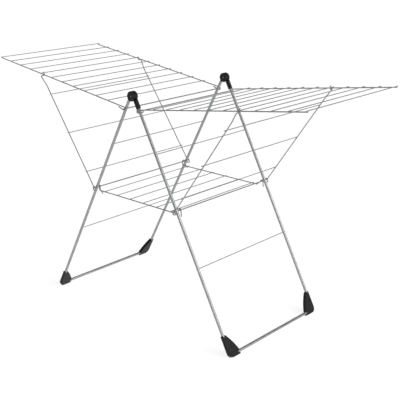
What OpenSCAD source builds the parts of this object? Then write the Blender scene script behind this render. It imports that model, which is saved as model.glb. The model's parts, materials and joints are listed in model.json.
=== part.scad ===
// Folding winged clothes drying rack.
// X runs along the wings, Y across the rack from one A-frame end to the other, Z up.
// The origin is on the floor, at the centre of the footprint.

/* [Frame] */
// Distance between the centre planes of the two A-shaped ends
gauge = 550; // [450:5:650]
// Distance from the centre of the rack to the centre of a floor bar
foot_reach = 508.4; // [460:1:540]
// Height of the hinge axis above the floor
hinge_height = 955; // [900:1:1000]
// Height of the floor bars' centre lines
bar_height = 12; // [12:0.5:16]
// Distance of the hinge axis below the point where two leg lines meet
apex_drop = 18; // [17:0.5:22]
// Outside diameter of the leg and floor tubes
tube_d = 12; // [11:0.5:13]
// Wall thickness of the tubes
tube_wall = 0.8; // [0.6:0.1:1.5]

/* [Cross members] */
// Diameter of the upper and lower rods that carry the wings, braces and shelf
rod_d = 5; // [4:0.5:5]
// Height of the upper rods
upper_rod_z = 900.9; // [890:0.1:903]
// Height of the lower rods
lower_rod_z = 535.8; // [500:0.1:560]
// Height of the upper leg rungs
rung_high_z = 742.3; // [700:0.1:780]
// Height of the lower leg rungs
rung_low_z = 325.7; // [280:0.1:360]
// Diameter of all thin rungs
rung_d = 3.5; // [3:0.25:4]
// Diameter of the side wires of wings, braces and shelf
wire_d = 4.5; // [4:0.25:4.5]

/* [Wings] */
// Rise of an open wing above horizontal, in degrees
wing_rise = 7.9; // [4:0.1:12]
// Number of drying rungs on a wing
wing_rungs = 11; // [7:1:11]
// Distance from the upper rod to the first drying rung
wing_first = 93; // [80:1:110]
// Spacing of the drying rungs
wing_pitch = 70.7; // [60:0.1:72]
// Distance of a wing's side wires outboard of the leg planes
wing_offset = 9; // [9:0.1:10]

/* [Braces] */
// Distance along the wing at which a brace holds it
brace_hold = 508; // [506:0.5:510]
// Distance of a brace's side wires outboard of the leg planes
brace_offset = 14; // [14:0.1:15]
// Places of a brace's rungs, as fractions of its length from the lower rod
brace_rung_at = [0.147, 0.489, 0.831]; // [0.1:0.001:0.9]
// Centre-line radius of the eyes round the lower rods
eye_r = 8.5; // [8:0.1:9]

/* [Shelf] */
// Distance of the shelf's side wires inboard of the leg planes
shelf_inset = 18.3; // [17:0.1:24]
// Depth of the shelf below the lower rods
shelf_drop = 19; // [17:0.5:20]
// Number of shelf rungs
shelf_rungs = 6; // [3:1:6]
// Distance from the left lower rod to the first shelf rung
shelf_first = 34.9; // [32:0.1:40]
// Spacing of the shelf rungs
shelf_pitch = 76.06; // [60:0.1:76.5]

/* [Plastic parts] */
// Diameter of a hinge disc
disc_d = 40; // [38:0.5:42]
// Thickness of the pair of hinge discs
disc_pair_t = 23.4; // [20:0.2:26]
// Outside diameter of a hinge sleeve
sleeve_d = 19; // [18:0.5:20]
// Distance from a sleeve's mouth to the centre of the upper rod
sleeve_gap = 9.2; // [9:0.1:14]
// Diameter of a hinge pin
pin_d = 6; // [5:0.5:8]
// Length of a corner foot along its leg
foot_leg = 92; // [80:1:110]
// Length of a corner foot along its floor bar
foot_bar = 61; // [55:1:80]
// Thickness of a corner foot
foot_t = 14.5; // [14:0.5:20]

/* [Hidden] */
$fn = 64;
wire_sides = 10;
arc_step = 15;
half_gauge = gauge / 2;
apex_z = hinge_height + apex_drop;
lean = atan(foot_reach / (apex_z - bar_height));
// Lengths along a leg's centre line, measured from its floor end
leg_line = foot_reach / sin(lean);
pivot_at = leg_line - apex_drop * cos(lean);
upper_at = (upper_rod_z - bar_height) / cos(lean);
sleeve_full = disc_d / 2 + 1.8;
sleeve_end = pivot_at - upper_at - sleeve_gap;
sleeve_stop = sleeve_full + 3;
disc_gap = 0.3;
pin_slack = 0.05;
pin_head_d = 10;
pin_head_t = 2;
recess_d = 10.6;
recess_t = 3;
// Distances of a foot's outer edge and sole from the tubes' centre lines
foot_edge = 7.6;
sole_edge = 11;
foot_corner = 22;
foot_bulge = 3.5;
// Distance of a socket's floor from the point where leg and floor bar meet
socket_floor = 9;
notch_w = 13;
notch_h = 10;
sleeve_notch_scale = 0.7;
rod_end_upper = half_gauge + wing_offset + wire_d / 2 + 3;
rod_end_lower = half_gauge + brace_offset + wire_d / 2 + 3;
rung_end = half_gauge + tube_d / 2 + 2.5;
rung_overhang = 8;
weld = 0.15;
rung_lift = (wire_d + rung_d) / 2 - weld;
hook_r = 6;
hook_tail = 34;
// Where the tail of a wing's hook starts to rise, and how far it rises
hook_flat = 6;
hook_rise = 5.5;
wing_length = wing_first + (wing_rungs - 1) * wing_pitch;
upper_rod_x = (apex_z - upper_rod_z) * tan(lean);
lower_rod_x = (apex_z - lower_rod_z) * tan(lean);
eye_hang = 3.3;
eye_neck_r = 4;
brace_splay = 8;
brace_splay_length = 45;
brace_gap = 0.5;
// Heights above the wing's side wire, and how far the tip leans outward
brace_tail_bend = 5;
brace_tail_top = 10;
brace_tail_lean = 4.7;
shelf_eye_r = 5.8;
shelf_hook_r = 5.8;
shelf_span = 2 * lower_rod_x;
shelf_tail_shift = 5.2;

sides = ["left", "right"];
ends = ["near", "far"];
frame_parts = ["upper_rod", "lower_rod", "rung_high", "rung_low", "floor_bar"];
end_parts = ["leg", "foot", "hinge_sleeve", "wing_arm", "brace_wire"];

// ---- Helpers ----

function unit(v) = v / norm(v);

// Which way a side or an end lies along X or Y
function sign_of(name) = name == "left" || name == "near" ? -1 : 1;

// Corner points with rounded bends: r is the bend radius at each inner corner
function bent(p, r) = [
  for (i = [0:len(p) - 1])
    each i == 0 || i == len(p) - 1 || r[i] == 0
      ? [p[i]]
      : bend(p[i], unit(p[i - 1] - p[i]), unit(p[i + 1] - p[i]), r[i])
];

// The points of one bend at corner c between the directions a and b
function bend(c, a, b, r) =
  let (
    half = acos(a * b) / 2,
    centre = c + unit(a + b) * r / sin(half),
    out = unit(c + a * r / tan(half) - centre),
    turn = 180 - 2 * half,
    steps = ceil(turn / arc_step)
  )
  [for (i = [0:steps]) centre + r * (out * cos(turn * i / steps) - a * sin(turn * i / steps))];

function tangent(p, i) = unit(p[min(i + 1, len(p) - 1)] - p[max(i - 1, 0)]);

// A side direction for each point of a path that doesn't twist along it
function steady(p, side, i = 0) =
  let (t = tangent(p, i), s = unit(side - t * (side * t)))
  i == len(p) - 1 ? [s] : concat([s], steady(p, s, i + 1));

// A round wire along a path; side is any direction square to its first stretch
module wire(p, side, d = wire_d) {
  n = wire_sides;
  s = steady(p, side);
  ring_points = [
    for (i = [0:len(p) - 1], k = [0:n - 1])
      p[i] + d / 2 * (s[i] * cos(360 * k / n) + cross(tangent(p, i), s[i]) * sin(360 * k / n))
  ];
  walls = [
    for (i = [0:len(p) - 2], k = [0:n - 1])
      [i * n + k, (i + 1) * n + k, (i + 1) * n + (k + 1) % n, i * n + (k + 1) % n]
  ];
  first = [for (k = [0:n - 1]) k];
  last = [for (k = [n - 1:-1:0]) (len(p) - 1) * n + k];
  polyhedron(ring_points, concat(walls, [first], [last]));
}

// A straight round bar across the rack, at a place given as distances outward and up
module bar(side, out, up, d, reach) {
  translate([sign_of(side) * out, -reach, up])
    rotate([-90, 0, 0])
      cylinder(d = d, h = 2 * reach);
}

// Stands a shape that was made along +Z on one leg's centre line, from its floor end up
module on_leg(side, end) {
  translate([sign_of(side) * foot_reach, sign_of(end) * half_gauge, bar_height])
    rotate([0, -sign_of(side) * lean, 0])
      children();
}

// ---- Leg frames ----

module leg(side, end) {
  color("silver")
    difference() {
      on_leg(side, end)
        difference() {
          translate([0, 0, socket_floor])
            cylinder(d = tube_d, h = pivot_at - sleeve_stop - socket_floor);
          translate([0, 0, socket_floor - 1])
            cylinder(d = tube_d - 2 * tube_wall, h = leg_line);
        }
      upper_rod(side);
      lower_rod(side);
      leg_rung(side, rung_high_z);
      leg_rung(side, rung_low_z);
    }
}

module floor_bar(side) {
  reach = half_gauge - socket_floor;
  color("silver")
    difference() {
      bar(side, foot_reach, bar_height, tube_d, reach);
      bar(side, foot_reach, bar_height, tube_d - 2 * tube_wall, reach + 1);
    }
}

module upper_rod(side) {
  color("silver") bar(side, upper_rod_x, upper_rod_z, rod_d, rod_end_upper);
}

module lower_rod(side) {
  color("silver") bar(side, lower_rod_x, lower_rod_z, rod_d, rod_end_lower);
}

module leg_rung(side, z) {
  color("silver") bar(side, (apex_z - z) * tan(lean), z, rung_d, rung_end);
}

// The outline of a corner foot: first axis inward along the floor bar, second up the leg
module foot_outline() {
  top = foot_leg - sole_edge;
  tip = foot_bar - foot_edge;
  corner = [-foot_edge + foot_corner, -sole_edge + foot_corner];
  middle = [(foot_edge + tip) / 2, (foot_edge + top) / 2];
  chord = [tip - foot_edge, foot_edge - top];
  bulge_r = (chord * chord / 4 + foot_bulge * foot_bulge) / (2 * foot_bulge);
  inward = unit([chord[1], -chord[0]]);
  centre = middle + inward * (bulge_r - foot_bulge);
  half_turn = asin(norm(chord) / 2 / bulge_r);
  facing = atan2(-inward[1], -inward[0]);
  difference() {
    polygon(
      concat(
        [[-foot_edge, top]],
        [for (a = [180:arc_step / 2:270]) corner + foot_corner * [cos(a), sin(a)]],
        [[tip, -sole_edge]],
        [for (i = [-6:6]) centre + bulge_r * [cos(facing + half_turn * i / 6), sin(facing + half_turn * i / 6)]]
      )
    );
    // Notches that show the tubes where they enter
    translate([0, top + 0.01]) notch();
    translate([tip + 0.01, 0]) rotate(-90) notch();
  }
}

module notch() {
  polygon([[-notch_w / 2, 0], [0, -notch_h], [notch_w / 2, 0]]);
}

module foot(side, end) {
  color([0.16, 0.16, 0.17])
    difference() {
      on_leg(side, end)
        difference() {
          rotate([90, 0, -sign_of(end) * 90])
            translate([0, 0, -foot_t / 2])
              linear_extrude(foot_t) foot_outline();
          translate([0, 0, socket_floor])
            cylinder(d = tube_d, h = foot_leg);
          rotate([90 * sign_of(end), 0, 0])
            translate([0, 0, socket_floor])
              cylinder(d = tube_d, h = foot_bar);
        }
      translate([-gauge * 2, -gauge, -foot_leg])
        cube([gauge * 4, gauge * 2, foot_leg]);
    }
}

// ---- Hinges ----

// A disc half as thick as the hinge, on the near side for the left frame and the far side for
// the right one, with the sleeve that takes the top of the leg
module hinge_sleeve(side, end) {
  half = sign_of(side);
  disc_t = (disc_pair_t - disc_gap) / 2;
  color([0.16, 0.16, 0.17])
    difference() {
      union() {
        translate([0, sign_of(end) * half_gauge + half * disc_gap / 2, hinge_height])
          rotate([-90 * half, 0, 0])
            cylinder(d = disc_d, h = disc_t);
        on_leg(side, end)
          translate([0, 0, pivot_at - sleeve_end])
            cylinder(d = sleeve_d, h = sleeve_end - sleeve_full);
        on_leg(side, end)
          intersection() {
            translate([0, 0, pivot_at - sleeve_full])
              cylinder(d = sleeve_d, h = sleeve_full);
            translate([-sleeve_d, half < 0 ? -sleeve_d : disc_gap / 2, pivot_at - sleeve_full])
              cube([2 * sleeve_d, sleeve_d - (half < 0 ? disc_gap / 2 : 0), sleeve_full]);
          }
      }
      on_leg(side, end)
        translate([0, 0, pivot_at - sleeve_end - 1])
          cylinder(d = tube_d, h = sleeve_end + 1 - sleeve_stop);
      translate([0, sign_of(end) * half_gauge - disc_pair_t, hinge_height])
        rotate([-90, 0, 0])
          cylinder(d = pin_d + 2 * pin_slack, h = 2 * disc_pair_t);
      translate([0, sign_of(end) * half_gauge + half * (disc_pair_t / 2 - recess_t), hinge_height])
        rotate([-90 * half, 0, 0])
          cylinder(d = recess_d, h = recess_t + 1);
      // Notch at the mouth of the sleeve
      on_leg(side, end)
        translate([0, 0, pivot_at - sleeve_end])
          rotate([0, 0, half < 0 ? 0 : 180])
            rotate([90, 180, 180])
              linear_extrude(sleeve_d) translate([0, 0.01]) scale(sleeve_notch_scale) notch();
    }
}

module hinge_pin(end) {
  reach = disc_pair_t / 2 - recess_t + disc_gap;
  color("dimgray")
    translate([0, sign_of(end) * half_gauge, hinge_height])
      rotate([-90, 0, 0])
        union() {
          translate([0, 0, -reach])
            cylinder(d = pin_d, h = 2 * reach);
          translate([0, 0, reach])
            cylinder(d = pin_head_d, h = pin_head_t);
          translate([0, 0, -reach - pin_head_t])
            cylinder(d = pin_head_d, h = pin_head_t);
        }
}

// ---- Wings ----

// A place on a wing, from its distance along the wing and its height above the rod
function on_wing(side, y, along, height) = [
  sign_of(side) * (upper_rod_x + along * cos(wing_rise) - height * sin(wing_rise)),
  y,
  upper_rod_z + along * sin(wing_rise) + height * cos(wing_rise)
];

module wing_arm(side, end) {
  y = sign_of(end) * (half_gauge + wing_offset);
  color("gainsboro")
    wire(
      bent(
        [
          on_wing(side, y, hook_tail, hook_rise - hook_r),
          on_wing(side, y, hook_flat, -hook_r),
          on_wing(side, y, -hook_r, -hook_r),
          on_wing(side, y, -hook_r, hook_r),
          on_wing(side, y, wing_length + wire_d / 2, hook_r)
        ],
        [0, 20, hook_r - 0.01, hook_r - 0.01, 0]
      ),
      [0, 1, 0]
    );
}

module wing_rung(side, k) {
  reach = half_gauge + wing_offset + rung_overhang;
  place = on_wing(side, 0, wing_first + (k - 1) * wing_pitch, hook_r + rung_lift);
  color("gainsboro") bar("right", place[0], place[2], rung_d, reach);
}

// ---- Braces ----

eye_centre = [lower_rod_x, lower_rod_z - eye_hang];
hold_place = on_wing("right", 0, brace_hold, hook_r - wire_d - brace_gap);
brace_top = [hold_place[0], hold_place[2]];
brace_dir = unit(brace_top - eye_centre);
brace_length = norm(brace_top - eye_centre);

// A place on a brace: distance along it from the eye's centre, and across it towards the wing's root
function on_brace(side, y, along, across) = [
  sign_of(side) * (eye_centre[0] + along * brace_dir[0] - across * brace_dir[1]),
  y,
  eye_centre[1] + along * brace_dir[1] + across * brace_dir[0]
];

module brace_wire(side, end) {
  e = sign_of(end);
  y = e * (half_gauge + brace_offset);
  y_out = y + e * brace_splay;
  y_in = e * (half_gauge + wing_offset - wire_d - brace_gap);
  neck = asin(eye_neck_r / (eye_r + eye_neck_r));
  neck_at = (eye_r + eye_neck_r) * cos(neck);
  // The open end of the eye stops short of the neck
  eye_points = [
    for (a = [360 - 16:-arc_step:neck + 4])
      on_brace(side, y, eye_r * cos(a), eye_r * sin(a))
  ];
  neck_points = [
    for (a = [90 - neck:-arc_step:0])
      on_brace(side, y, neck_at - eye_neck_r * sin(a), eye_neck_r - eye_neck_r * cos(a))
  ];
  top_points = bent(
    [
      on_brace(side, y, neck_at + 1, 0),
      on_brace(side, y, brace_length - brace_splay_length, 0),
      on_brace(side, y_out, brace_length, 0),
      on_brace(side, y_in, brace_length, 0),
      on_wing(side, y_in, brace_hold, hook_r + brace_tail_bend),
      on_wing(side, y_in, brace_hold + brace_tail_lean, hook_r + brace_tail_top)
    ],
    [0, 30, 3.5, 3.5, 3, 0]
  );
  color("gainsboro")
    wire(concat(eye_points, neck_points, top_points), [0, 1, 0]);
}

module brace_rungs(side) {
  reach = half_gauge + brace_offset + rung_overhang;
  color("gainsboro")
    for (f = brace_rung_at) {
      place = on_brace("right", 0, f * brace_length, rung_lift);
      bar(side, place[0], place[2], rung_d, reach);
    }
}

// ---- Shelf ----

// A place on the shelf: distance from the left lower rod and height above it
function on_shelf(y, along, height) = [along - lower_rod_x, y, lower_rod_z + height];

module shelf_wire(end) {
  e = sign_of(end);
  y = e * (half_gauge - shelf_inset);
  y_tail = y + e * shelf_tail_shift;
  r = shelf_eye_r;
  h = shelf_hook_r;
  color("gainsboro")
    wire(
      bent(
        [
          on_shelf(y_tail, r + 16, -shelf_drop - 9),
          on_shelf(y_tail, r, -shelf_drop + 6),
          on_shelf(y_tail, r, r),
          on_shelf(y, -r, r),
          on_shelf(y, -r, -shelf_drop),
          on_shelf(y, shelf_span - h - 20, -shelf_drop),
          on_shelf(y, shelf_span - h, h - 6),
          on_shelf(y, shelf_span - 3.6, h),
          on_shelf(y, shelf_span + h, h),
          on_shelf(y, shelf_span + h + 2, -25)
        ],
        [0, 5, 5.6, 5.6, 6, 8, 3, 4, 4.5, 0]
      ),
      [0, 1, 0]
    );
}

module shelf_rungs() {
  reach = half_gauge - shelf_inset + wire_d / 2;
  color("gainsboro")
    for (k = [0:shelf_rungs - 1])
      bar(
        "right",
        shelf_first + k * shelf_pitch - lower_rod_x,
        lower_rod_z - shelf_drop + rung_lift,
        rung_d,
        reach
      );
}

// ---- Assembly ----

for (s = sides) {
  upper_rod(s);
  lower_rod(s);
  leg_rung(s, rung_high_z);
  leg_rung(s, rung_low_z);
  floor_bar(s);
  brace_rungs(s);
  for (e = ends) {
    leg(s, e);
    foot(s, e);
    hinge_sleeve(s, e);
    wing_arm(s, e);
    brace_wire(s, e);
  }
  for (k = [1:wing_rungs]) {
    wing_rung(s, k);
  }
}
for (e = ends) {
  hinge_pin(e);
  shelf_wire(e);
}
shelf_rungs();
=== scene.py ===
"""The looks of a folding winged clothes drying rack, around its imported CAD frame. Metres, +Z up."""

import json
import math

import bmesh
import bpy
from mathutils import Matrix, Vector


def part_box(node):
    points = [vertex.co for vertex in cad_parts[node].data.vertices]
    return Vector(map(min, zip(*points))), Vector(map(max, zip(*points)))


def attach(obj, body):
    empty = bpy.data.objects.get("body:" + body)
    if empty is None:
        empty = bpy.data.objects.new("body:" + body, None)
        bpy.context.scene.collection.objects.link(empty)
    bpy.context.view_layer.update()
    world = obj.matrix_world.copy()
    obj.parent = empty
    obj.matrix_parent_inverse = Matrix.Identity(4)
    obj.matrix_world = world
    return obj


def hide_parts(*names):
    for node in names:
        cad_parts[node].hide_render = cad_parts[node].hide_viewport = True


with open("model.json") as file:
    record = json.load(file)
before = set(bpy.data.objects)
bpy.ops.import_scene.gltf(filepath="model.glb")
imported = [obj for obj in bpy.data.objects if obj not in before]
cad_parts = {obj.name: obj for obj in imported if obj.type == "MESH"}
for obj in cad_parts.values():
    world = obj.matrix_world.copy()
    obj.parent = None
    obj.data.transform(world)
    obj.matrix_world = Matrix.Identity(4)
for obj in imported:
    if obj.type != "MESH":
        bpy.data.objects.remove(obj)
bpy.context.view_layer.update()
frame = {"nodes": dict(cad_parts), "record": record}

MM = 0.001
SIDES = {"left": -1, "right": 1}
ENDS = {"near": -1, "far": 1}
UP = Vector((0, 0, 1))
ACROSS = Vector((0, 1, 0))

# ---- Sizes that the frame doesn't give by itself ----

WELD = 0.15 * MM
HOOK_TAIL = 34 * MM
HOOK_FLAT = 6 * MM
HOOK_RISE = 5.5 * MM
HOOK_TAIL_BEND = 20 * MM
EYE_R = 8.5 * MM
EYE_NECK_R = 4 * MM
BRACE_GAP = 0.5 * MM
BRACE_SPLAY = 8 * MM
BRACE_SPLAY_LENGTH = 45 * MM
BRACE_TAIL_BEND = 5 * MM
BRACE_TAIL_TOP = 10 * MM
BRACE_TAIL_LEAN = 4.7 * MM
SHELF_EYE_R = 5.8 * MM
SHELF_HOOK_R = 5.8 * MM
SHELF_TAIL_SHIFT = 5.2 * MM
FOOT_EDGE = 7.6 * MM
SOLE_EDGE = 11 * MM
FOOT_T = 14.5 * MM
FOOT_CORNER = 22 * MM
FOOT_BULGE = 3.5 * MM
FOOT_LEG = 92 * MM
FOOT_BAR = 61 * MM
FOOT_ROUND = 1.2 * MM
NOTCH_W = 13 * MM
NOTCH_H = 10 * MM
SLEEVE_D = 19 * MM
SLEEVE_NOTCH = 0.7
DISC_GAP = 0.3 * MM
DISC_BEVEL = 2.4 * MM
RECESS_D = 10.6 * MM
RECESS_T = 3 * MM
DISC_EDGE = 0.6 * MM
EYE_FROM = math.radians(344)
EYE_PAST_NECK = math.radians(4)
EYE_STEPS = 44
THROAT_STEPS = 10
RIVET_HEAD_T = 2 * MM
RIVET_SHANK_R = 3 * MM
WELD_BEAD = (2.5 * MM, 2.7 * MM, 1.1 * MM)
SHELF_BEAD = (2.5 * MM, 2.3 * MM, 1.1 * MM)
FOOT_VOXEL = 0.5 * MM
SLEEVE_VOXEL = 0.45 * MM
WING_RUNGS = 11

# ---- How finely curves are cut, and how far the ends of bars are rounded ----

ARC_STEP = math.radians(7.5)
WIRE_SIDES = 16
WIRE_END = 0.7
TUBE_SIDES = 32
TUBE_END = 0.1

# ---- Light and camera, with the camera's angles in degrees ----

FLOOR_GLOW = 0.86
DOME_LOW = 0.55
DOME_TOP = 0.12
WINDOW_WAY = (0.88, 0.12, 0.45)
WINDOW_GLOW = 3.6
KEY_PLACE = (3.2, 0.4, 1.9)
KEY_AIM = (0, 0, 0.5)
KEY_SIZE = 1.2
KEY_POWER = 15
LENS = 76.4
CAMERA_PLACE = (2.3733, -2.5118, 1.6154)
CAMERA_TILT = 71.54
CAMERA_TURN = 42.09


def centre(node):
    low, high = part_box(node)
    return (low + high) / 2


def extent(node):
    low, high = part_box(node)
    return high - low


def outer_y(node, e):
    """How far the node reaches across the rack at its end e, which is -1 near and 1 far."""
    low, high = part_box(node)
    return low.y if e < 0 else high.y


def bars_in(node):
    """The centres of the straight bars across the rack in one CAD node, by height and then by X."""
    groups = []
    for vertex in frame["nodes"][node].data.vertices:
        place = Vector((vertex.co.x, 0, vertex.co.z))
        for group in groups:
            if (group[0] - place).length < 10 * MM:
                group.append(place)
                break
        else:
            groups.append([place])
    middles = []
    for group in groups:
        xs = [p.x for p in group]
        zs = [p.z for p in group]
        middles.append(Vector(((min(xs) + max(xs)) / 2, 0, (min(zs) + max(zs)) / 2)))
    return sorted(middles, key=lambda p: (round(p.z, 4), p.x))


WIRE_D = extent("left_wing_arm_near").y
RUNG_D = extent("left_wing_rung_1").x
ROD_D = extent("left_upper_rod").x
TUBE_D = extent("left_floor_bar").x
RUNG_LIFT = (WIRE_D + RUNG_D) / 2 - WELD

# ---- Mesh helpers ----


def bend(corner, a, b, radius):
    """The points of a rounded bend at a corner, between the unit directions a and b away from it."""
    half = math.acos(max(-1, min(1, a.dot(b)))) / 2
    middle = corner + (a + b).normalized() * radius / math.sin(half)
    out = (corner + a * radius / math.tan(half) - middle).normalized()
    turn = math.pi - 2 * half
    steps = max(1, math.ceil(turn / ARC_STEP))
    return [
        middle + radius * (out * math.cos(turn * i / steps) - a * math.sin(turn * i / steps))
        for i in range(steps + 1)
    ]


def bent(points, radii):
    """A path through corner points, with a rounded bend of the given radius at each inner corner."""
    path = [points[0]]
    for i in range(1, len(points) - 1):
        a = (points[i - 1] - points[i]).normalized()
        b = (points[i + 1] - points[i]).normalized()
        path += bend(points[i], a, b, radii[i]) if radii[i] else [points[i]]
    return path + [points[-1]]


def ring_at(bm, place, radius, side, other, count):
    """A ring of corners round a place, in the directions side and other."""
    angles = [math.tau * k / count for k in range(count)]
    return [bm.verts.new(place + radius * (side * math.cos(a) + other * math.sin(a))) for a in angles]


def skin_rings(bm, rings):
    """Faces between each ring and the next, and a cap on both ends."""
    for near, far in zip(rings, rings[1:]):
        for k in range(len(near)):
            j = (k + 1) % len(near)
            bm.faces.new((near[k], near[j], far[j], far[k]))
    bm.faces.new(reversed(rings[0]))
    bm.faces.new(rings[-1])


def sweep(bm, path, radius, sides=WIRE_SIDES, edge=WIRE_END):
    """A round wire along a path, with rounded ends inside its length. edge is their share of the radius."""
    round_r = radius * edge
    last = len(path) - 1
    tangents = [(path[min(i + 1, last)] - path[max(i - 1, 0)]).normalized() for i in range(last + 1)]
    stations = []
    for i, place in enumerate(path):
        if i in (0, last):
            turns = [math.radians(a) for a in (0, 22, 45, 68, 90)]
            inward = tangents[i] if i == 0 else -tangents[i]
            ring = [
                (place + inward * round_r * (1 - math.cos(t)), radius - round_r * (1 - math.sin(t)))
                for t in turns
            ]
            stations += [(p, r, tangents[i]) for p, r in (ring if i == 0 else reversed(ring))]
        else:
            stations.append((place, radius, tangents[i]))
    side = tangents[0].orthogonal().normalized()
    rings = []
    for place, r, tangent in stations:
        side = (side - tangent * side.dot(tangent)).normalized()
        other = tangent.cross(side)
        rings.append(ring_at(bm, place, r, side, other, sides))
    skin_rings(bm, rings)


def crossbar(bm, middle, node, radius, sides=WIRE_SIDES, edge=WIRE_END):
    """A straight bar through its middle, as far across the rack as the CAD node reaches."""
    ends = [Vector((middle.x, outer_y(node, e), middle.z)) for e in (-1, 1)]
    sweep(bm, [ends[0], middle, ends[1]], radius, sides, edge)


def lathe(bm, profile, place, axis, sides=72):
    """A turned solid with closed ends. profile is (radius, distance along axis) from end to end."""
    side = axis.orthogonal().normalized()
    other = axis.cross(side)
    rings = [ring_at(bm, place + axis * along, r, side, other, sides) for r, along in profile]
    skin_rings(bm, rings)


def rounded(r, start, end, radius, steps=5):
    """A lathe profile of a cylinder from start to end with rounded rims."""
    turns = [math.pi / 2 * i / steps for i in range(steps + 1)]
    first = [(r - radius + radius * math.sin(t), start + radius * (1 - math.cos(t))) for t in turns]
    return first + [(q, start + end - along) for q, along in reversed(first)]


def prism(bm, outline, place, u, v, w, depth):
    """A prism: a 2D outline in the directions u and v, from place along w for depth."""
    low = [bm.verts.new(place + u * a + v * b) for a, b in outline]
    high = [bm.verts.new(vert.co + w * depth) for vert in low]
    skin_rings(bm, [low, high])


def arc(heart, radius, turns):
    """The points of an outline on an arc round its heart, at the angles in turns."""
    return [(heart.x + radius * math.cos(a), heart.y + radius * math.sin(a)) for a in turns]


def bead(bm, place, radii, first=Vector((1, 0, 0)), second=ACROSS):
    """A smooth swelling of coating over a weld: radii along first, along second and square to both."""
    third = first.cross(second)
    turn = Matrix((first, second, third)).transposed().to_4x4()
    shape = Matrix.Translation(place) @ turn @ Matrix.Diagonal((*radii, 1))
    bmesh.ops.create_icosphere(bm, subdivisions=3, radius=1, matrix=shape)


def piece(name, bm, material=None):
    """Turns a bmesh into a mesh object with smooth shading."""
    bmesh.ops.recalc_face_normals(bm, faces=bm.faces)
    mesh = bpy.data.meshes.new(name)
    bm.to_mesh(mesh)
    bm.free()
    obj = bpy.data.objects.new(name, mesh)
    bpy.context.scene.collection.objects.link(obj)
    mesh.polygons.foreach_set("use_smooth", [True] * len(mesh.polygons))
    if material:
        mesh.materials.append(material)
    return obj


def settle(obj):
    """Applies the object's modifiers to its mesh."""
    shaped = obj.evaluated_get(bpy.context.evaluated_depsgraph_get())
    mesh = bpy.data.meshes.new_from_object(shaped)
    obj.modifiers.clear()
    obj.data = mesh
    return obj


def cut(obj, tool):
    """Takes the tool's shape out of the object."""
    change = obj.modifiers.new("cut", "BOOLEAN")
    change.operation = "DIFFERENCE"
    change.solver = "EXACT"
    change.object = tool
    settle(obj)
    bpy.data.objects.remove(tool)


def mould(obj, voxel, smoothing, keep):
    """Makes one moulded skin of overlapping solids, with every edge slightly rounded."""
    skin = obj.modifiers.new("skin", "REMESH")
    skin.mode = "VOXEL"
    skin.voxel_size = voxel
    skin.use_smooth_shade = True
    soft = obj.modifiers.new("soft", "SMOOTH")
    soft.factor = 0.5
    soft.iterations = smoothing
    fewer = obj.modifiers.new("fewer", "DECIMATE")
    fewer.ratio = keep
    settle(obj)


def show(obj, body, slot, *nodes):
    """Parents the piece to the body it moves with and hides the CAD nodes it stands for; slot, the finish,
    is not used.
    """
    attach(obj, body)
    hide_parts(*nodes)


# ---- Materials ----


def new_material(name):
    material = bpy.data.materials.new(name)
    material.use_nodes = True
    tree = material.node_tree
    return material, tree, tree.nodes["Principled BSDF"]


def noise(tree, scale, detail=2.0, rough=0.5):
    """A noise texture in the object's own coordinates."""
    place = tree.nodes.new("ShaderNodeTexCoord")
    texture = tree.nodes.new("ShaderNodeTexNoise")
    texture.inputs["Scale"].default_value = scale
    texture.inputs["Detail"].default_value = detail
    texture.inputs["Roughness"].default_value = rough
    tree.links.new(place.outputs["Object"], texture.inputs["Vector"])
    return texture.outputs["Fac"]


def ranged(tree, value, low, high, to_low, to_high):
    """The value's range low to high, spread over to_low to to_high."""
    node = tree.nodes.new("ShaderNodeMapRange")
    node.inputs["From Min"].default_value = low
    node.inputs["From Max"].default_value = high
    node.inputs["To Min"].default_value = to_low
    node.inputs["To Max"].default_value = to_high
    tree.links.new(value, node.inputs["Value"])
    return node.outputs["Result"]


def mixed(tree, share, first, second):
    """A colour between first and second; second may be a colour or another node's output."""
    node = tree.nodes.new("ShaderNodeMix")
    node.data_type = "RGBA"
    tree.links.new(share, node.inputs["Factor"])
    for socket, colour in ((node.inputs[6], first), (node.inputs[7], second)):
        if isinstance(colour, tuple):
            socket.default_value = (*colour, 1)
        else:
            tree.links.new(colour, socket)
    return node.outputs[2]


def bumped(tree, shader, heights):
    """Stacks bumps, given as (height, strength, distance), onto the shader."""
    normal = None
    for height, strength, distance in heights:
        node = tree.nodes.new("ShaderNodeBump")
        node.inputs["Strength"].default_value = strength
        node.inputs["Distance"].default_value = distance
        tree.links.new(height, node.inputs["Height"])
        if normal:
            tree.links.new(normal, node.inputs["Normal"])
        normal = node.outputs["Normal"]
    tree.links.new(normal, shader.inputs["Normal"])


def coated_metal(name, light, dark, worn, metallic):
    """Satin silver-grey coating on steel: faint mottling, orange peel, and rare rubbed specks."""
    material, tree, shader = new_material(name)
    mottle = ranged(tree, noise(tree, 45, 4), 0.35, 0.65, 0, 1)
    base = mixed(tree, mottle, dark, light)
    specks = ranged(tree, noise(tree, 260, 3, 0.7), 0.68, 0.74, 0, 0.6)
    colour = mixed(tree, specks, base, worn)
    tree.links.new(colour, shader.inputs["Base Color"])
    roughness = ranged(tree, noise(tree, 90, 3), 0.3, 0.7, 0.24, 0.36)
    tree.links.new(roughness, shader.inputs["Roughness"])
    shader.inputs["Metallic"].default_value = metallic
    shader.inputs["Coat Weight"].default_value = 0.15
    shader.inputs["Coat Roughness"].default_value = 0.2
    peel = noise(tree, 1100, 2)
    dents = noise(tree, 160, 1)
    bumped(tree, shader, [(dents, 0.08, 0.4 * MM), (peel, 0.12, 0.1 * MM)])
    return material


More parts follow.
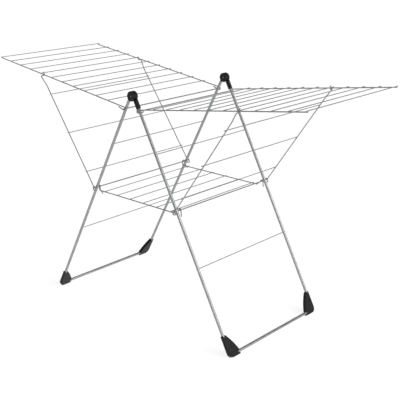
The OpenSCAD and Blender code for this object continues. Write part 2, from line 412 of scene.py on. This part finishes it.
def moulded_plastic(name):
    """Charcoal plastic with a fine spark-eroded grain, and scuffs where it stands on the floor."""
    material, tree, shader = new_material(name)
    mottle = ranged(tree, noise(tree, 60, 5), 0.3, 0.7, 0, 1)
    base = mixed(tree, mottle, (0.006, 0.006, 0.0065), (0.011, 0.011, 0.012))
    place = tree.nodes.new("ShaderNodeTexCoord")
    parts = tree.nodes.new("ShaderNodeSeparateXYZ")
    tree.links.new(place.outputs["Object"], parts.inputs["Vector"])
    low = ranged(tree, parts.outputs["Z"], 0.0, 12 * MM, 1, 0)
    scratch = ranged(tree, noise(tree, 420, 6, 0.75), 0.52, 0.66, 0, 0.5)
    both = tree.nodes.new("ShaderNodeMath")
    both.operation = "MULTIPLY"
    tree.links.new(low, both.inputs[0])
    tree.links.new(scratch, both.inputs[1])
    colour = mixed(tree, both.outputs["Value"], base, (0.10, 0.10, 0.10))
    tree.links.new(colour, shader.inputs["Base Color"])
    roughness = ranged(tree, noise(tree, 150, 3), 0.3, 0.7, 0.36, 0.50)
    tree.links.new(roughness, shader.inputs["Roughness"])
    shader.inputs["Specular IOR Level"].default_value = 0.18
    grain = noise(tree, 2600, 3, 0.6)
    bumped(tree, shader, [(grain, 0.35, 0.12 * MM)])
    return material


def zinc(name):
    """Dull zinc plate on the rivets, faintly brushed."""
    material, tree, shader = new_material(name)
    mottle = ranged(tree, noise(tree, 300, 4, 0.6), 0.3, 0.7, 0, 1)
    colour = mixed(tree, mottle, (0.10, 0.10, 0.105), (0.17, 0.17, 0.175))
    tree.links.new(colour, shader.inputs["Base Color"])
    shader.inputs["Metallic"].default_value = 0.9
    roughness = ranged(tree, noise(tree, 700, 2), 0.3, 0.7, 0.34, 0.5)
    tree.links.new(roughness, shader.inputs["Roughness"])
    bumped(tree, shader, [(noise(tree, 1500, 2), 0.15, 0.05 * MM)])
    return material


TUBE_COAT = coated_metal("tube_coat", (0.33, 0.335, 0.34), (0.28, 0.285, 0.29), (0.20, 0.20, 0.21), 0.6)
WIRE_COAT = coated_metal("wire_coat", (0.27, 0.275, 0.28), (0.22, 0.225, 0.23), (0.16, 0.16, 0.17), 0.4)
PLASTIC = moulded_plastic("black_plastic")
ZINC = zinc("rivet_zinc")

# ---- The planes that the wires lie in ----


class Plane:
    """A direction along a wing or a brace in the XZ plane, and the direction square to it, up."""

    def __init__(self, side, start, along):
        self.start = Vector((start.x, 0, start.z))
        self.along = Vector((along.x, 0, along.z)).normalized()
        self.up = Vector((-SIDES[side] * self.along.z, 0, SIDES[side] * self.along.x))

    def at(self, y, along, height):
        return self.start + self.along * along + self.up * height + ACROSS * y

    def height_of(self, point):
        return (Vector((point.x, 0, point.z)) - self.start).dot(self.up)

    def along_of(self, point):
        return (Vector((point.x, 0, point.z)) - self.start).dot(self.along)


def wing_plane(side):
    rungs = [centre(f"{side}_wing_rung_{k}") for k in (1, WING_RUNGS)]
    return Plane(side, centre(f"{side}_upper_rod"), rungs[1] - rungs[0])


def leg_plane(side):
    """Starts at the floor bar and runs up the legs."""
    rod = centre(f"{side}_upper_rod")
    low_rod = centre(f"{side}_lower_rod")
    return Plane(side, centre(f"{side}_floor_bar"), rod - low_rod)


def brace_plane(side):
    """Starts at the middle of the eyes round the lower rod and runs up the brace."""
    rungs = bars_in(f"{side}_brace_rungs")
    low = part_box(f"{side}_brace_wire_near")[0].z
    rod = centre(f"{side}_lower_rod")
    eye = Vector((rod.x, 0, low + EYE_R + WIRE_D / 2))
    return Plane(side, eye, rungs[-1] - rungs[0])


# ---- Leg frames ----


def rod_like(name, body, node, d, swell_at=()):
    """A straight bar with rounded ends, and a swelling of coating at each place in swell_at."""
    middle = centre(node)
    bm = bmesh.new()
    crossbar(bm, middle, node, d / 2)
    for y in swell_at:
        wide = d / 2 + 1.1 * MM
        bead(bm, Vector((middle.x, y, middle.z)), (wide, 1.2 * MM, wide))
    show(piece(name, bm, WIRE_COAT), body, "wire", node)


def leg(side, end):
    plane = leg_plane(side)
    node = f"{side}_leg_{end}"
    low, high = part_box(node)
    y = centre(node).y
    slant = TUBE_D / 2 * abs(plane.along.x)
    first = (low.z + slant - plane.start.z) / plane.along.z
    last = (high.z - slant - plane.start.z) / plane.along.z
    bm = bmesh.new()
    path = [plane.at(y, along, 0) for along in (first, (first + last) / 2, last)]
    sweep(bm, path, TUBE_D / 2, TUBE_SIDES, TUBE_END)
    show(piece(f"{node}_tube", bm, TUBE_COAT), f"{side}_frame", "tube", node)


def floor_bar(side):
    node = f"{side}_floor_bar"
    bm = bmesh.new()
    crossbar(bm, centre(node), node, TUBE_D / 2, TUBE_SIDES, TUBE_END)
    show(piece(f"{node}_tube", bm, TUBE_COAT), f"{side}_frame", "tube", node)


def cross_members(side):
    body = f"{side}_frame"
    reach = centre(f"{side}_leg_far").y
    faces = [e * reach + f * (TUBE_D / 2 - 0.3 * MM) for e in (-1, 1) for f in (-1, 1)]
    members = {"upper_rod": ROD_D, "lower_rod": ROD_D, "rung_high": RUNG_D, "rung_low": RUNG_D}
    for name, d in members.items():
        node = f"{side}_{name}"
        rod_like(f"{node}_bar", body, node, d, faces)


def notch_outline(scale=1.0):
    return [(-NOTCH_W / 2 * scale, MM), (0, -NOTCH_H * scale), (NOTCH_W / 2 * scale, MM)]


def foot_outline():
    """The corner foot from the side: first axis inward along the floor bar, second up the leg."""
    edge = FOOT_EDGE
    top = FOOT_LEG - SOLE_EDGE
    tip = FOOT_BAR - edge
    corner = Vector((FOOT_CORNER - edge, FOOT_CORNER - SOLE_EDGE))
    middle = Vector(((edge + tip) / 2, (edge + top) / 2))
    chord = Vector((tip - edge, edge - top))
    bulge_r = (chord.dot(chord) / 4 + FOOT_BULGE ** 2) / (2 * FOOT_BULGE)
    inward = Vector((chord.y, -chord.x)).normalized()
    heart = middle + inward * (bulge_r - FOOT_BULGE)
    half_turn = math.asin(chord.length / 2 / bulge_r)
    facing = math.atan2(-inward.y, -inward.x)
    quarter = [math.radians(180 + 7.5 * i) for i in range(13)]
    turns = [facing + half_turn * i / 12 for i in range(-12, 13)]
    round_corner = arc(corner, FOOT_CORNER, quarter)
    return [(-edge, top)] + round_corner + [(tip, -SOLE_EDGE)] + arc(heart, bulge_r, turns)


def foot(side, end):
    plane = leg_plane(side)
    node = f"{side}_foot_{end}"
    y = centre(f"{side}_leg_{end}").y
    start = plane.at(y, 0, 0)
    inward = -ENDS[end] * ACROSS
    through = inward.cross(plane.along)
    bm = bmesh.new()
    prism(bm, foot_outline(), start - through * FOOT_T / 2, inward, plane.along, through, FOOT_T)
    obj = piece(f"{node}_moulding", bm, PLASTIC)
    rim = obj.modifiers.new("rim", "BEVEL")
    rim.width = FOOT_ROUND
    rim.segments = 4
    rim.limit_method = "ANGLE"
    rim.angle_limit = math.radians(40)
    settle(obj)
    top = plane.along * (FOOT_LEG - SOLE_EDGE)
    tip = inward * (FOOT_BAR - FOOT_EDGE)
    for place, u, v in ((start + top, inward, plane.along), (start + tip, -plane.along, inward)):
        bm = bmesh.new()
        prism(bm, notch_outline(), place - through * FOOT_T, u, v, through, 2 * FOOT_T)
        bmesh.ops.recalc_face_normals(bm, faces=bm.faces)
        cut(obj, piece("notch", bm))
    bm = bmesh.new()
    below = Matrix.Translation((start.x, start.y, -FOOT_LEG)) @ Matrix.Diagonal((*[2 * FOOT_LEG] * 3, 1))
    bmesh.ops.create_cube(bm, size=1, matrix=below)
    cut(obj, piece("floor_cut", bm))
    mould(obj, FOOT_VOXEL, 2, 0.25)
    show(obj, f"{side}_frame", "plastic", node)


# ---- Hinges ----


def frame_hinge():
    joint = [j for j in frame["record"]["behaviour"]["joints"] if j["name"] == "frame_fold"][0]
    return Vector(joint["pos_m"])


def hinge_sleeve(side, end):
    """The leg's sleeve and its disc, on the near side for the left frame and the far side for the right."""
    plane = leg_plane(side)
    node = f"{side}_hinge_sleeve_{end}"
    low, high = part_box(node)
    way = SIDES[side]
    y = centre(f"{side}_leg_{end}").y
    outward = ACROSS * way
    hinge = Vector((0, y, frame_hinge().z))
    disc_d = 2 * (high.z - hinge.z)
    face_y = outer_y(node, way)
    disc_t = abs(face_y - y) - DISC_GAP / 2
    pivot = plane.along_of(hinge)
    mouth = (low.z + SLEEVE_D / 2 * abs(plane.along.x) - plane.start.z) / plane.along.z
    axle = plane.at(y, 0, 0)
    full = disc_d / 2 + 1.8 * MM
    disc_at = hinge + outward * DISC_GAP / 2

    bm = bmesh.new()
    lathe(bm, rounded(SLEEVE_D / 2, mouth, pivot, 1.4 * MM), axle, plane.along)
    obj = piece(f"{node}_moulding", bm, PLASTIC)

    bm = bmesh.new()
    corners = [(-SLEEVE_D, pivot - full), (SLEEVE_D, pivot - full)]
    corners += [(SLEEVE_D, pivot + full), (-SLEEVE_D, pivot + full)]
    prism(bm, corners, axle + outward * DISC_GAP / 2, plane.up, plane.along, -outward, SLEEVE_D)
    cut(obj, piece("other_half", bm))

    bm = bmesh.new()
    place = axle + plane.along * mouth
    prism(bm, notch_outline(SLEEVE_NOTCH), place, plane.up, plane.along, -outward, SLEEVE_D)
    cut(obj, piece("notch", bm))

    bm = bmesh.new()
    disc_r = disc_d / 2
    steps = [math.radians(a) for a in (0, 30, 60, 90)]
    rim = [
        (disc_r - DISC_BEVEL * (1 - math.cos(t)), disc_t - DISC_BEVEL * (1 - math.sin(t)))
        for t in steps
    ]
    lathe(bm, [(disc_r - DISC_EDGE, 0), (disc_r, DISC_EDGE)] + rim, disc_at, outward, 96)
    disc = piece("disc", bm)
    merged = bmesh.new()
    merged.from_mesh(obj.data)
    merged.from_mesh(disc.data)
    merged.to_mesh(obj.data)
    merged.free()
    bpy.data.objects.remove(disc)

    bm = bmesh.new()
    lathe(bm, [(RECESS_D / 2, disc_t - RECESS_T), (RECESS_D / 2, disc_t + MM)], disc_at, outward)
    cut(obj, piece("recess", bm))
    mould(obj, SLEEVE_VOXEL, 4, 0.3)
    show(obj, f"{side}_frame", "plastic", node)


def hinge_pin(end):
    node = f"hinge_pin_{end}"
    low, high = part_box(node)
    middle = centre(node)
    r = (high.z - low.z) / 2
    half = (high.y - low.y) / 2
    head_t = RIVET_HEAD_T
    turns = [math.radians(a) for a in (0, 15, 30, 45, 60, 75, 90)]
    dome = [(r * math.cos(t), half - head_t + head_t * math.sin(t)) for t in turns]
    dome[-1] = (0.2 * MM, half - 0.35 * MM)
    dimple = [(1.6 * MM, half - 0.05 * MM)]
    head = [(r, half - head_t)] + dome[:-2] + dimple + [dome[-1]]
    shank = [(RIVET_SHANK_R, -half + head_t), (RIVET_SHANK_R, half - head_t)]
    profile = [(q, -a) for q, a in reversed(head)] + shank + head
    bm = bmesh.new()
    lathe(bm, profile, middle, ACROSS)
    show(piece(f"{node}_rivet", bm, ZINC), "left_frame", "pin", node)


# ---- Wings ----


def hook_radius(side):
    """The radius of a wing's hooks, which is also the height of its side wires over the upper rod."""
    return wing_plane(side).height_of(centre(f"{side}_wing_rung_1")) - RUNG_LIFT


def wing_arm(side, end):
    plane = wing_plane(side)
    node = f"{side}_wing_arm_{end}"
    y = centre(node).y
    last = centre(f"{side}_wing_rung_{WING_RUNGS}")
    hook_r = hook_radius(side)
    path = bent(
        [
            plane.at(y, HOOK_TAIL, HOOK_RISE - hook_r),
            plane.at(y, HOOK_FLAT, -hook_r),
            plane.at(y, -hook_r, -hook_r),
            plane.at(y, -hook_r, hook_r),
            plane.at(y, plane.along_of(last) + WIRE_D / 2, hook_r),
        ],
        [0, HOOK_TAIL_BEND, hook_r - MM / 100, hook_r - MM / 100, 0],
    )
    bm = bmesh.new()
    sweep(bm, path, WIRE_D / 2)
    show(piece(f"{node}_wire", bm, WIRE_COAT), f"{side}_wing", "wire", node)


def wing_rung(side, k):
    plane = wing_plane(side)
    node = f"{side}_wing_rung_{k}"
    middle = centre(node)
    bm = bmesh.new()
    crossbar(bm, middle, node, RUNG_D / 2)
    for end in ENDS:
        y = centre(f"{side}_wing_arm_{end}").y
        place = middle - plane.up * RUNG_D / 2 + ACROSS * y
        bead(bm, place, WELD_BEAD, plane.along)
    show(piece(f"{node}_wire", bm, WIRE_COAT), f"{side}_wing", "wire", node)


# ---- Braces ----


def brace_wire(side, end):
    plane = brace_plane(side)
    wing = wing_plane(side)
    node = f"{side}_brace_wire_{end}"
    e = ENDS[end]
    y_out = outer_y(node, e) - e * (WIRE_D / 2)
    y = y_out - e * BRACE_SPLAY
    y_in = centre(f"{side}_wing_arm_{end}").y - e * (WIRE_D + BRACE_GAP)
    hook_r = hook_radius(side)
    # The brace ends where its line meets the level just under the wing's side wires
    level = hook_r - WIRE_D - BRACE_GAP
    length = (level - wing.height_of(plane.start)) / plane.along.dot(wing.up)
    hold = wing.along_of(plane.at(0, length, 0))
    neck = math.asin(EYE_NECK_R / (EYE_R + EYE_NECK_R))
    neck_at = (EYE_R + EYE_NECK_R) * math.cos(neck)
    eye_to = neck + EYE_PAST_NECK
    turns = [EYE_FROM + (eye_to - EYE_FROM) * i / EYE_STEPS for i in range(EYE_STEPS + 1)]
    eye = [plane.at(y, EYE_R * math.cos(a), EYE_R * math.sin(a)) for a in turns]
    turns = [(math.pi / 2 - neck) * (1 - i / THROAT_STEPS) for i in range(THROAT_STEPS + 1)]
    throat = [
        plane.at(y, neck_at - EYE_NECK_R * math.sin(a), EYE_NECK_R - EYE_NECK_R * math.cos(a))
        for a in turns
    ]
    top = bent(
        [
            plane.at(y, neck_at + MM, 0),
            plane.at(y, length - BRACE_SPLAY_LENGTH, 0),
            plane.at(y_out, length, 0),
            plane.at(y_in, length, 0),
            wing.at(y_in, hold, hook_r + BRACE_TAIL_BEND),
            wing.at(y_in, hold + BRACE_TAIL_LEAN, hook_r + BRACE_TAIL_TOP),
        ],
        [0, 30 * MM, 3.5 * MM, 3.5 * MM, 3 * MM, 0],
    )
    bm = bmesh.new()
    sweep(bm, eye + throat + top, WIRE_D / 2)
    show(piece(f"{node}_wire", bm, WIRE_COAT), f"{side}_brace", "wire", node)


def brace_rungs(side):
    plane = brace_plane(side)
    node = f"{side}_brace_rungs"
    bm = bmesh.new()
    for middle in bars_in(node):
        crossbar(bm, middle, node, RUNG_D / 2)
        for end, e in ENDS.items():
            y = outer_y(f"{side}_brace_wire_{end}", e) - e * (WIRE_D / 2 + BRACE_SPLAY)
            place = middle - plane.up * RUNG_D / 2 + ACROSS * y
            bead(bm, place, WELD_BEAD, plane.along)
    show(piece(f"{node}_wires", bm, WIRE_COAT), f"{side}_brace", "wire", node)


# ---- Shelf ----


def shelf_wire(end):
    node = f"shelf_wire_{end}"
    e = ENDS[end]
    left = centre("left_lower_rod")
    span = centre("right_lower_rod").x - left.x
    drop = left.z - bars_in("shelf_rungs")[0].z + RUNG_LIFT
    y_tail = outer_y(node, e) - e * WIRE_D / 2
    y = y_tail - e * SHELF_TAIL_SHIFT
    r = SHELF_EYE_R
    h = SHELF_HOOK_R

    def at(across, along, height):
        return Vector((left.x + along, across, left.z + height))

    path = bent(
        [
            at(y_tail, r + 16 * MM, -drop - 9 * MM),
            at(y_tail, r, -drop + 6 * MM),
            at(y_tail, r, r),
            at(y, -r, r),
            at(y, -r, -drop),
            at(y, span - h - 20 * MM, -drop),
            at(y, span - h, h - 6 * MM),
            at(y, span - 3.6 * MM, h),
            at(y, span + h, h),
            at(y, span + h + 2 * MM, -25 * MM),
        ],
        [0, 5 * MM, 5.6 * MM, 5.6 * MM, 6 * MM, 8 * MM, 3 * MM, 4 * MM, 4.5 * MM, 0],
    )
    bm = bmesh.new()
    sweep(bm, path, WIRE_D / 2)
    show(piece(f"{node}_wire", bm, WIRE_COAT), "shelf", "wire", node)


def shelf_rungs():
    node = "shelf_rungs"
    bm = bmesh.new()
    for middle in bars_in(node):
        crossbar(bm, middle, node, RUNG_D / 2)
        for end, e in ENDS.items():
            y = outer_y(f"shelf_wire_{end}", e) - e * (WIRE_D / 2 + SHELF_TAIL_SHIFT)
            bead(bm, middle - UP * RUNG_D / 2 + ACROSS * y, SHELF_BEAD)
    show(piece(f"{node}_wires", bm, WIRE_COAT), "shelf", "wire", node)


# ---- The rack ----

for side in SIDES:
    floor_bar(side)
    cross_members(side)
    brace_rungs(side)
    for end in ENDS:
        leg(side, end)
        foot(side, end)
        hinge_sleeve(side, end)
        wing_arm(side, end)
        brace_wire(side, end)
    for k in range(1, WING_RUNGS + 1):
        wing_rung(side, k)
for end in ENDS:
    hinge_pin(end)
    shelf_wire(end)
shelf_rungs()

# ---- Studio ----


def floor_plane():
    """A wide pale floor with a faint unevenness, that glows a little like a light table."""
    bm = bmesh.new()
    bmesh.ops.create_grid(bm, x_segments=8, y_segments=8, size=30)
    material, tree, shader = new_material("floor_paper")
    tint = ranged(tree, noise(tree, 3, 3), 0.3, 0.7, 0, 1)
    tree.links.new(mixed(tree, tint, (0.30, 0.30, 0.30), (0.32, 0.32, 0.32)), shader.inputs["Base Color"])
    shader.inputs["Roughness"].default_value = 0.9
    shader.inputs["Specular IOR Level"].default_value = 0.1
    shader.inputs["Emission Color"].default_value = (1, 1, 1, 1)
    shader.inputs["Emission Strength"].default_value = FLOOR_GLOW
    floor = piece("floor", bm, material)
    floor.location.z = -0.5 * MM


def dome():
    """Soft light from all round: dim overhead, and strong from one wide window-like patch."""
    world = bpy.data.worlds.new("studio")
    world.use_nodes = True
    tree = world.node_tree
    place = tree.nodes.new("ShaderNodeTexCoord")
    parts = tree.nodes.new("ShaderNodeSeparateXYZ")
    tree.links.new(place.outputs["Generated"], parts.inputs["Vector"])
    level = ranged(tree, parts.outputs["Z"], 0.12, 0.75, DOME_LOW, DOME_TOP)
    toward = tree.nodes.new("ShaderNodeVectorMath")
    toward.operation = "DOT_PRODUCT"
    toward.inputs[1].default_value = WINDOW_WAY
    tree.links.new(place.outputs["Generated"], toward.inputs[0])
    window = ranged(tree, toward.outputs["Value"], 0.84, 0.97, 0, WINDOW_GLOW)
    both = tree.nodes.new("ShaderNodeMath")
    both.operation = "ADD"
    tree.links.new(level, both.inputs[0])
    tree.links.new(window, both.inputs[1])
    tree.links.new(both.outputs["Value"], tree.nodes["Background"].inputs["Strength"])
    tree.nodes["Background"].inputs["Color"].default_value = (1, 1, 1, 1)
    bpy.context.scene.world = world


def key_light():
    data = bpy.data.lights.new("key", "AREA")
    data.shape = "RECTANGLE"
    data.size = KEY_SIZE
    data.size_y = KEY_SIZE
    data.energy = KEY_POWER
    obj = bpy.data.objects.new("key", data)
    obj.location = KEY_PLACE
    obj.rotation_euler = (Vector(KEY_AIM) - Vector(KEY_PLACE)).to_track_quat("-Z", "Y").to_euler()
    bpy.context.scene.collection.objects.link(obj)


def studio():
    floor_plane()
    dome()
    key_light()
    bpy.context.scene.view_settings.view_transform = "Standard"


def camera():
    data = bpy.data.cameras.new("camera")
    data.lens = LENS
    data.sensor_width = 36
    obj = bpy.data.objects.new("camera", data)
    obj.location = CAMERA_PLACE
    obj.rotation_euler = (math.radians(CAMERA_TILT), 0, math.radians(CAMERA_TURN))
    bpy.context.scene.collection.objects.link(obj)
    bpy.context.scene.camera = obj


studio()
camera()

bpy.context.view_layer.update()
